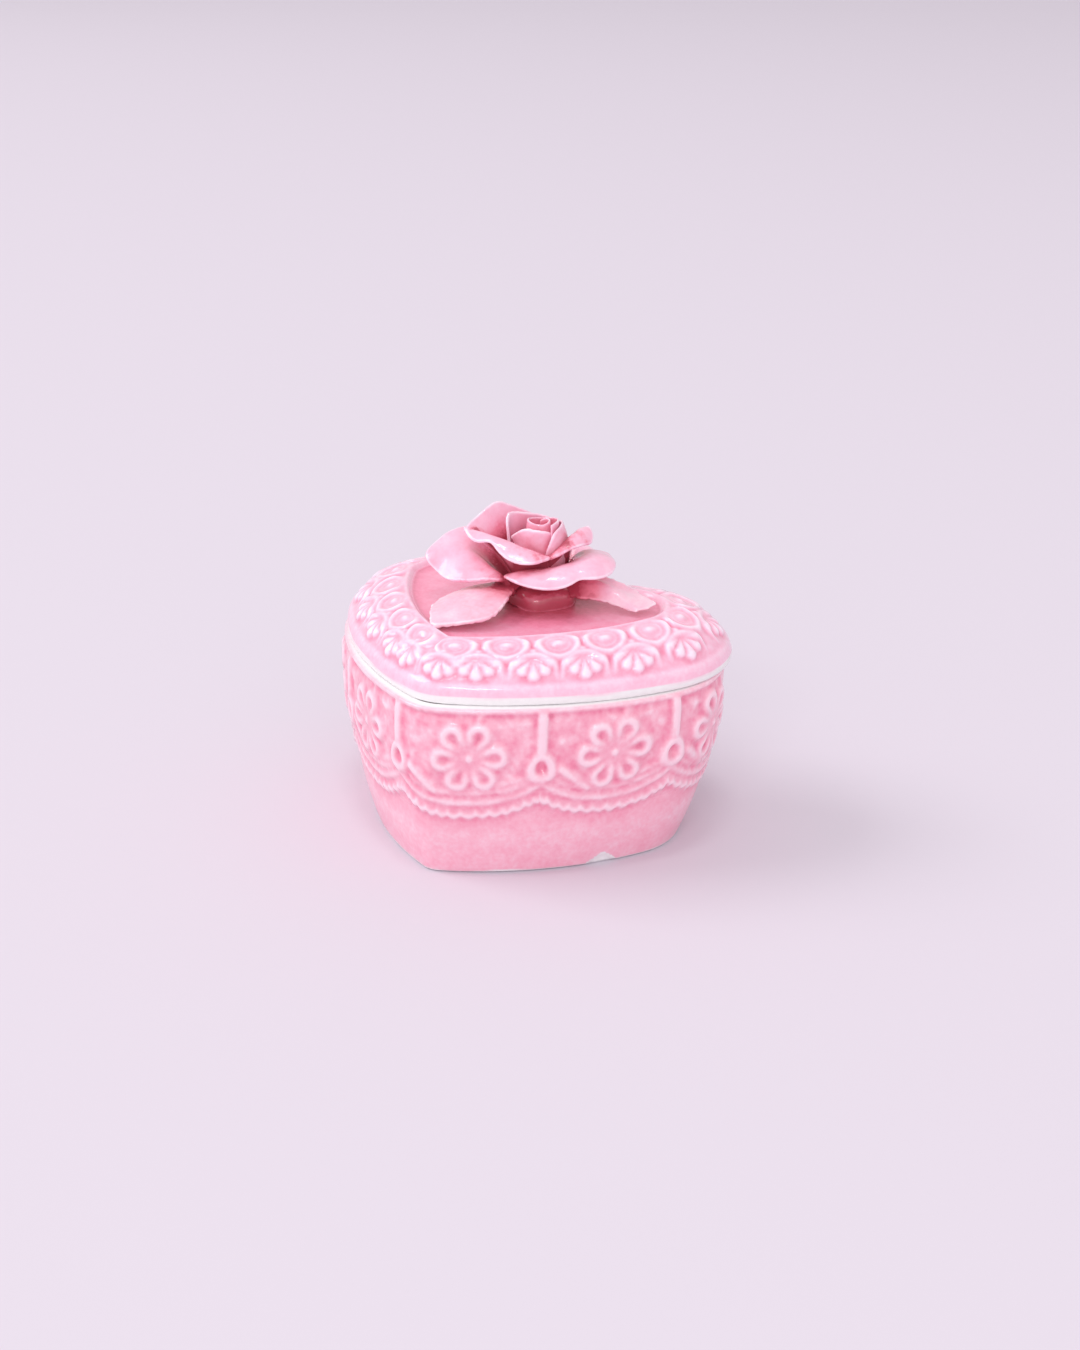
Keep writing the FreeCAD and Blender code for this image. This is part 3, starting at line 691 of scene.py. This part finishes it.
def soften(node, voxel, rounds, seed, wobble=0.12, grain=0.0, ragged=0.0):
    """Clay piece from its plain solid: edges rounded off as glaze does, gently uneven."""
    piece = remeshed(node, voxel)
    mesh = piece.data
    count = len(mesh.vertices)
    ends = np.zeros(len(mesh.edges) * 2, np.int64)
    mesh.edges.foreach_get("vertices", ends)
    a, b = ends.reshape(-1, 2).T
    degree = np.bincount(a, minlength=count) + np.bincount(b, minlength=count)

    def spread(q):
        """Mean of each point's neighbours."""
        total = np.zeros_like(q)
        for c in range(q.shape[1]):
            total[:, c] = np.bincount(a, q[b, c], count) + np.bincount(b, q[a, c], count)
        return total / np.maximum(degree, 1)[:, None]

    def set_points(q):
        mesh.vertices.foreach_set("co", (q * MM).ravel())
        mesh.update()

    p = vertex_vectors(mesh, "co") / MM
    for _ in range(rounds):
        p = p + RELAX * (spread(p) - p)
    set_points(p)
    n = vertex_vectors(mesh, "normal")
    bulge = ((p - spread(spread(spread(p)))) * n).sum(1) / voxel
    for _ in range(3):
        bulge = spread(bulge[:, None])[:, 0]
    bulge = bulge / max(np.percentile(bulge, 97), 1e-6)
    edge = step(0.25, 0.75, bulge)
    hollow = step(-0.1, -0.6, bulge)

    p = p + wobble * np.stack([noise(p, 6.0, seed + k) for k in range(3)], -1)
    p = p + n * (0.05 * noise(p, 1.8, seed + 5))[:, None]
    p = p + n * (grain * noise(p, 0.7, seed + 6))[:, None]
    p = p + n * (edge * ragged * (noise(p, 0.8, seed + 7) - 0.3))[:, None]
    set_points(p)

    # Painted shade low round the rose's root, where the rose shades itself.
    root_shade = step(ROOT_REACH, 7.0, from_rose(p)) * step(ROOT_RISE, 2.0, p[:, 2] - PANEL_Z)
    pale = EDGE_PALE * edge * (0.8 + 0.6 * noise(p, 3.0, seed + 9))
    pool_and_shade = 0.3 * hollow - pale + 0.10 * noise(p, 4.0, seed + 8) + ROOT_SHADE * root_shade
    finish_mesh(mesh, {"pool_and_shade": pool_and_shade, "bare": 0 * pool_and_shade, "satin": 0 * pool_and_shade})
    return piece


# Painted shade from rays: the glaze colour deepens where other clay pieces stand close and shut out
# light.
SHELTER_REACH = 9.0
SHELTER_RAYS = 14
SHELTER_START = 0.35        # rays start this far off the surface
SHELTER_EVERY = 24          # one vertex in so many is measured
SHELTER_BLEND = 10          # and each vertex takes the mean of so many measured ones
SHELTER_SHADE_GAIN = 0.8
SHELTER_BUD = 0.22          # the bud's petals are thin and get less of the painted shade


def dome_rays(count):
    """Directions spread evenly over the half space round +Z."""
    turn = math.pi * (3 - math.sqrt(5))
    rays = []
    for k in range(count):
        up = 1 - (k + 0.5) / (count + 1)
        out = math.sqrt(1 - up * up)
        rays.append(Vector((out * math.cos(turn * k), out * math.sin(turn * k), up)))
    return rays


def solid_tree(nodes):
    """All the nodes' plain solids as one tree that rays can be cast into."""
    corners = []
    triangles = []
    for node in nodes:
        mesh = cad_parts[node].data
        mesh.calc_loop_triangles()
        start = len(corners)
        corners += [v.co / MM for v in mesh.vertices]
        triangles += [[start + i for i in t.vertices] for t in mesh.loop_triangles]
    return BVHTree.FromPolygons(corners, triangles)


def paint_shelter_shade(pieces):
    """Painted shade: deepen the glaze colour where the clay pieces crowd together, by how near the others
    stand.
    """
    solid = solid_tree(pieces)
    rays = dome_rays(SHELTER_RAYS)
    for node, piece in pieces.items():
        mesh = piece.data
        points = vertex_vectors(mesh, "co") / MM
        normals = vertex_vectors(mesh, "normal")
        picked = range(0, len(points), SHELTER_EVERY)
        tree = KDTree(len(picked))
        hidden = []
        for row, i in enumerate(picked):
            normal = Vector(normals[i])
            turn = normal.to_track_quat("Z", "Y").to_matrix()
            start = Vector(points[i]) + normal * SHELTER_START
            tree.insert(start, row)
            hits = [solid.ray_cast(start, turn @ ray, SHELTER_REACH)[3] for ray in rays]
            near = sum(1 - hit / SHELTER_REACH for hit in hits if hit is not None)
            hidden.append(near / len(rays))
        tree.balance()
        crowd = np.zeros(len(points))
        for i, point in enumerate(points):
            crowd[i] = sum(hidden[row] for _, row, _ in tree.find_n(point, SHELTER_BLEND)) / SHELTER_BLEND
        layer = mesh.attributes["pool_and_shade"]
        pool_and_shade = np.zeros(len(points), np.float32)
        layer.data.foreach_get("value", pool_and_shade)
        gain = SHELTER_SHADE_GAIN * (SHELTER_BUD if "bud" in node else 1.0)
        # painted occlusion shade, added to the glaze colour
        layer.data.foreach_set("value", (pool_and_shade + gain * step(0.1, 0.65, crowd)).astype(np.float32))


# ---------------------------------------------------------------- materials
# Darkest end of the glaze ramp: deep glaze in crevices, and the painted shade under the rose.
CREVICE_GLAZE_AND_SHADE = (0.50, 0.075, 0.12)
CLAY_LIGHT = (0.95, 0.93, 0.94)
CLAY_DARK = (0.86, 0.83, 0.84)
RAMP_PALE = 0.05            # where on the ramp the glaze's four shades lie
RAMP_MID = 0.30
RAMP_DEEP = 0.62
RAMP_CREVICE = 1.0
POOL_AND_SHADE_GAIN = 1.15
POOL_AND_SHADE_OFFSET = 0.31
CLOUD = 0.30                # unevenness of the shade, coarse and fine
FLECK = 0.24
SATIN_ROUGH = 0.22          # roughness added on satin glaze and on bare clay
CLAY_ROUGH = 0.45


def glaze(name, pale, mid, deep, rough, speckle):
    """Glossy pink glaze: pale where thin on ridges, deep where it pools, dark red where painted shade is
    added, white where bare.
    """
    material = bpy.data.materials.new(name)
    material.use_nodes = True
    nodes = material.node_tree.nodes
    links = material.node_tree.links
    shader = nodes["Principled BSDF"]
    coordinates = nodes.new("ShaderNodeTexCoord")

    def attribute(key):
        node = nodes.new("ShaderNodeAttribute")
        node.attribute_name = key
        return node.outputs["Fac"]

    def scaled(value, gain, offset):
        """value * gain + offset; the offset may be another node's output."""
        node = nodes.new("ShaderNodeMath")
        node.operation = "MULTIPLY_ADD"
        links.new(value, node.inputs[0])
        node.inputs[1].default_value = gain
        if isinstance(offset, float):
            node.inputs[2].default_value = offset
        else:
            links.new(offset, node.inputs[2])
        return node.outputs[0]

    def noise_node(scale, detail, roughness=0.5):
        """Noise with so many lumps to the metre."""
        node = nodes.new("ShaderNodeTexNoise")
        node.inputs["Scale"].default_value = scale
        node.inputs["Detail"].default_value = detail
        node.inputs["Roughness"].default_value = roughness
        links.new(coordinates.outputs["Object"], node.inputs["Vector"])
        return node.outputs["Fac"]

    def mix(fac, a, b):
        node = nodes.new("ShaderNodeMix")
        node.data_type = "RGBA"
        links.new(fac, node.inputs["Factor"])
        for socket, value in ((node.inputs["A"], a), (node.inputs["B"], b)):
            if isinstance(value, tuple):
                socket.default_value = (*value, 1)
            else:
                links.new(value, socket)
        return node.outputs["Result"]

    # The ramp reads glaze thickness together with painted shade.
    thickness_and_shade = scaled(attribute("pool_and_shade"), POOL_AND_SHADE_GAIN, POOL_AND_SHADE_OFFSET - (CLOUD + FLECK) / 2 * speckle)
    thickness_and_shade = scaled(noise_node(380, 3), CLOUD * speckle, thickness_and_shade)
    thickness_and_shade = scaled(noise_node(1100, 2), FLECK * speckle, thickness_and_shade)
    ramp = nodes.new("ShaderNodeValToRGB")
    stops = ramp.color_ramp.elements
    stops[0].position = RAMP_PALE
    stops[0].color = (*pale, 1)
    stops[1].position = RAMP_CREVICE
    stops[1].color = (*CREVICE_GLAZE_AND_SHADE, 1)
    stops.new(RAMP_MID).color = (*mid, 1)
    stops.new(RAMP_DEEP).color = (*deep, 1)
    links.new(thickness_and_shade, ramp.inputs["Fac"])
    bare = attribute("bare")
    clay = mix(noise_node(900, 3), CLAY_LIGHT, CLAY_DARK)
    links.new(mix(bare, ramp.outputs["Color"], clay), shader.inputs["Base Color"])

    dull = scaled(noise_node(300, 2), 0.10, rough - 0.05)
    dull = scaled(attribute("satin"), SATIN_ROUGH, dull)
    links.new(scaled(bare, CLAY_ROUGH, dull), shader.inputs["Roughness"])
    bump = nodes.new("ShaderNodeBump")
    bump.inputs["Strength"].default_value = 0.25
    bump.inputs["Distance"].default_value = 0.2 * MM
    links.new(noise_node(420, 3, 0.55), bump.inputs["Height"])
    links.new(bump.outputs["Normal"], shader.inputs["Normal"])
    shader.inputs["IOR"].default_value = 1.5
    shader.inputs["Specular IOR Level"].default_value = 0.5
    shader.inputs["Coat Weight"].default_value = 0.25
    shader.inputs["Coat Roughness"].default_value = 0.05
    return material


# Each glaze: pale, mid and deep shade, roughness and how speckled it is.
BASE_GLAZE = glaze("base_glaze", (0.99, 0.69, 0.79), (0.96, 0.48, 0.60), (0.89, 0.26, 0.40), 0.20, 1.15)
LID_GLAZE = glaze("lid_glaze", (1.0, 0.81, 0.93), (0.99, 0.56, 0.72), (0.90, 0.28, 0.43), 0.15, 0.8)
ROSE_GLAZE = glaze("rose_glaze", (1.0, 0.76, 0.88), (0.98, 0.52, 0.68), (0.88, 0.27, 0.38), 0.18, 0.6)
LEAF_GLAZE = glaze("leaf_glaze", (1.0, 0.78, 0.86), (0.98, 0.55, 0.69), (0.88, 0.29, 0.38), 0.22, 0.8)


# ---------------------------------------------------------------- put it together
def add(piece, body, material, node):
    piece.data.materials.clear()
    piece.data.materials.append(material)
    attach(piece, body)
    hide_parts(node)


for shell in (box_wall(), box_inside(), box_underside()):
    add(shell, "base", BASE_GLAZE, "box_base")
for shell in (lid_top(), lid_under()):
    add(shell, "lid", LID_GLAZE, "box_lid")

PETALS = ["bud_petal_inner", "bud_petal_outer", "bud_petal_right", "petal_back_left", "petal_front_left",
          "petal_right", "petal_low_front", "petal_low_left", "petal_low_back"]
LEAVES = ["leaf_left", "leaf_right"]
ROSE = {node: soften(node, 0.22, 7, 40 + 10 * number) for number, node in enumerate(PETALS)}
ROSE["rose_pad"] = soften("rose_pad", 0.3, 9, 130, wobble=0.8)
ROSE["rose_bud"] = soften("rose_bud", 0.3, 6, 140)
ROSE["bud_spiral"] = soften("bud_spiral", 0.18, 5, 170, wobble=0.1)
for number, node in enumerate(LEAVES):
    ROSE[node] = soften(node, 0.22, 5, 150 + 10 * number, wobble=0.15, grain=0.02, ragged=0.22)
# painted shade where the rose's pieces crowd together
paint_shelter_shade(ROSE)
for node, piece in ROSE.items():
    if node in LEAVES:
        add(piece, "lid", LEAF_GLAZE, node)
    else:
        add(piece, "lid", ROSE_GLAZE, node)


# ---------------------------------------------------------------- floor, light and camera
FLOOR_HALF = 6.0
PAPER = (0.715, 0.655, 0.73)
AIR = (1.0, 0.97, 1.0)
AIR_STRENGTH = 0.75
CAMERA_PLACE = (0.1944, -0.3154, 0.1846)
CAMERA_HEADING = 30.62
CAMERA_PITCH = -22.39
LENS = 50.46
SENSOR = 36


def floor():
    corners = [(x * FLOOR_HALF, y * FLOOR_HALF, 0) for x, y in ((-1, -1), (1, -1), (1, 1), (-1, 1))]
    mesh = bpy.data.meshes.new("floor")
    mesh.from_pydata(corners, [], [(0, 1, 2, 3)])
    paper = bpy.data.materials.new("paper")
    paper.use_nodes = True
    shader = paper.node_tree.nodes["Principled BSDF"]
    shader.inputs["Base Color"].default_value = (*PAPER, 1)
    shader.inputs["Roughness"].default_value = 0.9
    shader.inputs["Specular IOR Level"].default_value = 0.1
    mesh.materials.append(paper)
    new_object("floor", mesh)


def lamp(name, kind, power, azimuth, rise, distance):
    """A lamp that faces the object from the given direction, angles in degrees."""
    data = bpy.data.lights.new(name, kind)
    data.energy = power
    a = math.radians(azimuth)
    e = math.radians(rise)
    item = new_object(name, data)
    way = (math.cos(e) * math.cos(a), math.cos(e) * math.sin(a), math.sin(e))
    item.location = [distance * c for c in way]
    item.rotation_euler = (math.radians(90) - e, 0, a + math.radians(90))
    return data


def sun(name, azimuth, rise, strength, spread):
    data = lamp(name, "SUN", strength, azimuth, rise, 1.0)
    data.angle = math.radians(spread)


def softbox(name, azimuth, rise, distance, size, power):
    data = lamp(name, "AREA", power, azimuth, rise, distance)
    data.shape = "RECTANGLE"
    data.size, data.size_y = size


def soft_air():
    """Even light from all round."""
    world = bpy.data.worlds.new("studio")
    bpy.context.scene.world = world
    world.use_nodes = True
    background = world.node_tree.nodes["Background"]
    background.inputs["Color"].default_value = (*AIR, 1)
    background.inputs["Strength"].default_value = AIR_STRENGTH


def camera():
    lens = bpy.data.cameras.new("camera")
    lens.lens = LENS
    lens.sensor_width = SENSOR
    lens.clip_start = 0.01
    lens.clip_end = 50
    item = new_object("camera", lens)
    item.location = CAMERA_PLACE
    item.rotation_euler = (math.radians(90 + CAMERA_PITCH), 0, math.radians(CAMERA_HEADING))
    bpy.context.scene.camera = item


floor()
soft_air()
softbox("window", -158, 42, 5.0, (2.7, 2.3), 87.0)
softbox("overhead", -60, 82, 2.0, (0.35, 0.15), 3.5)
softbox("strip", -72, 31, 1.6, (0.5, 0.07), 2.6)
sun("fill", -55, 22, 0.5, 70)
camera()
bpy.context.scene.view_settings.view_transform = "Standard"
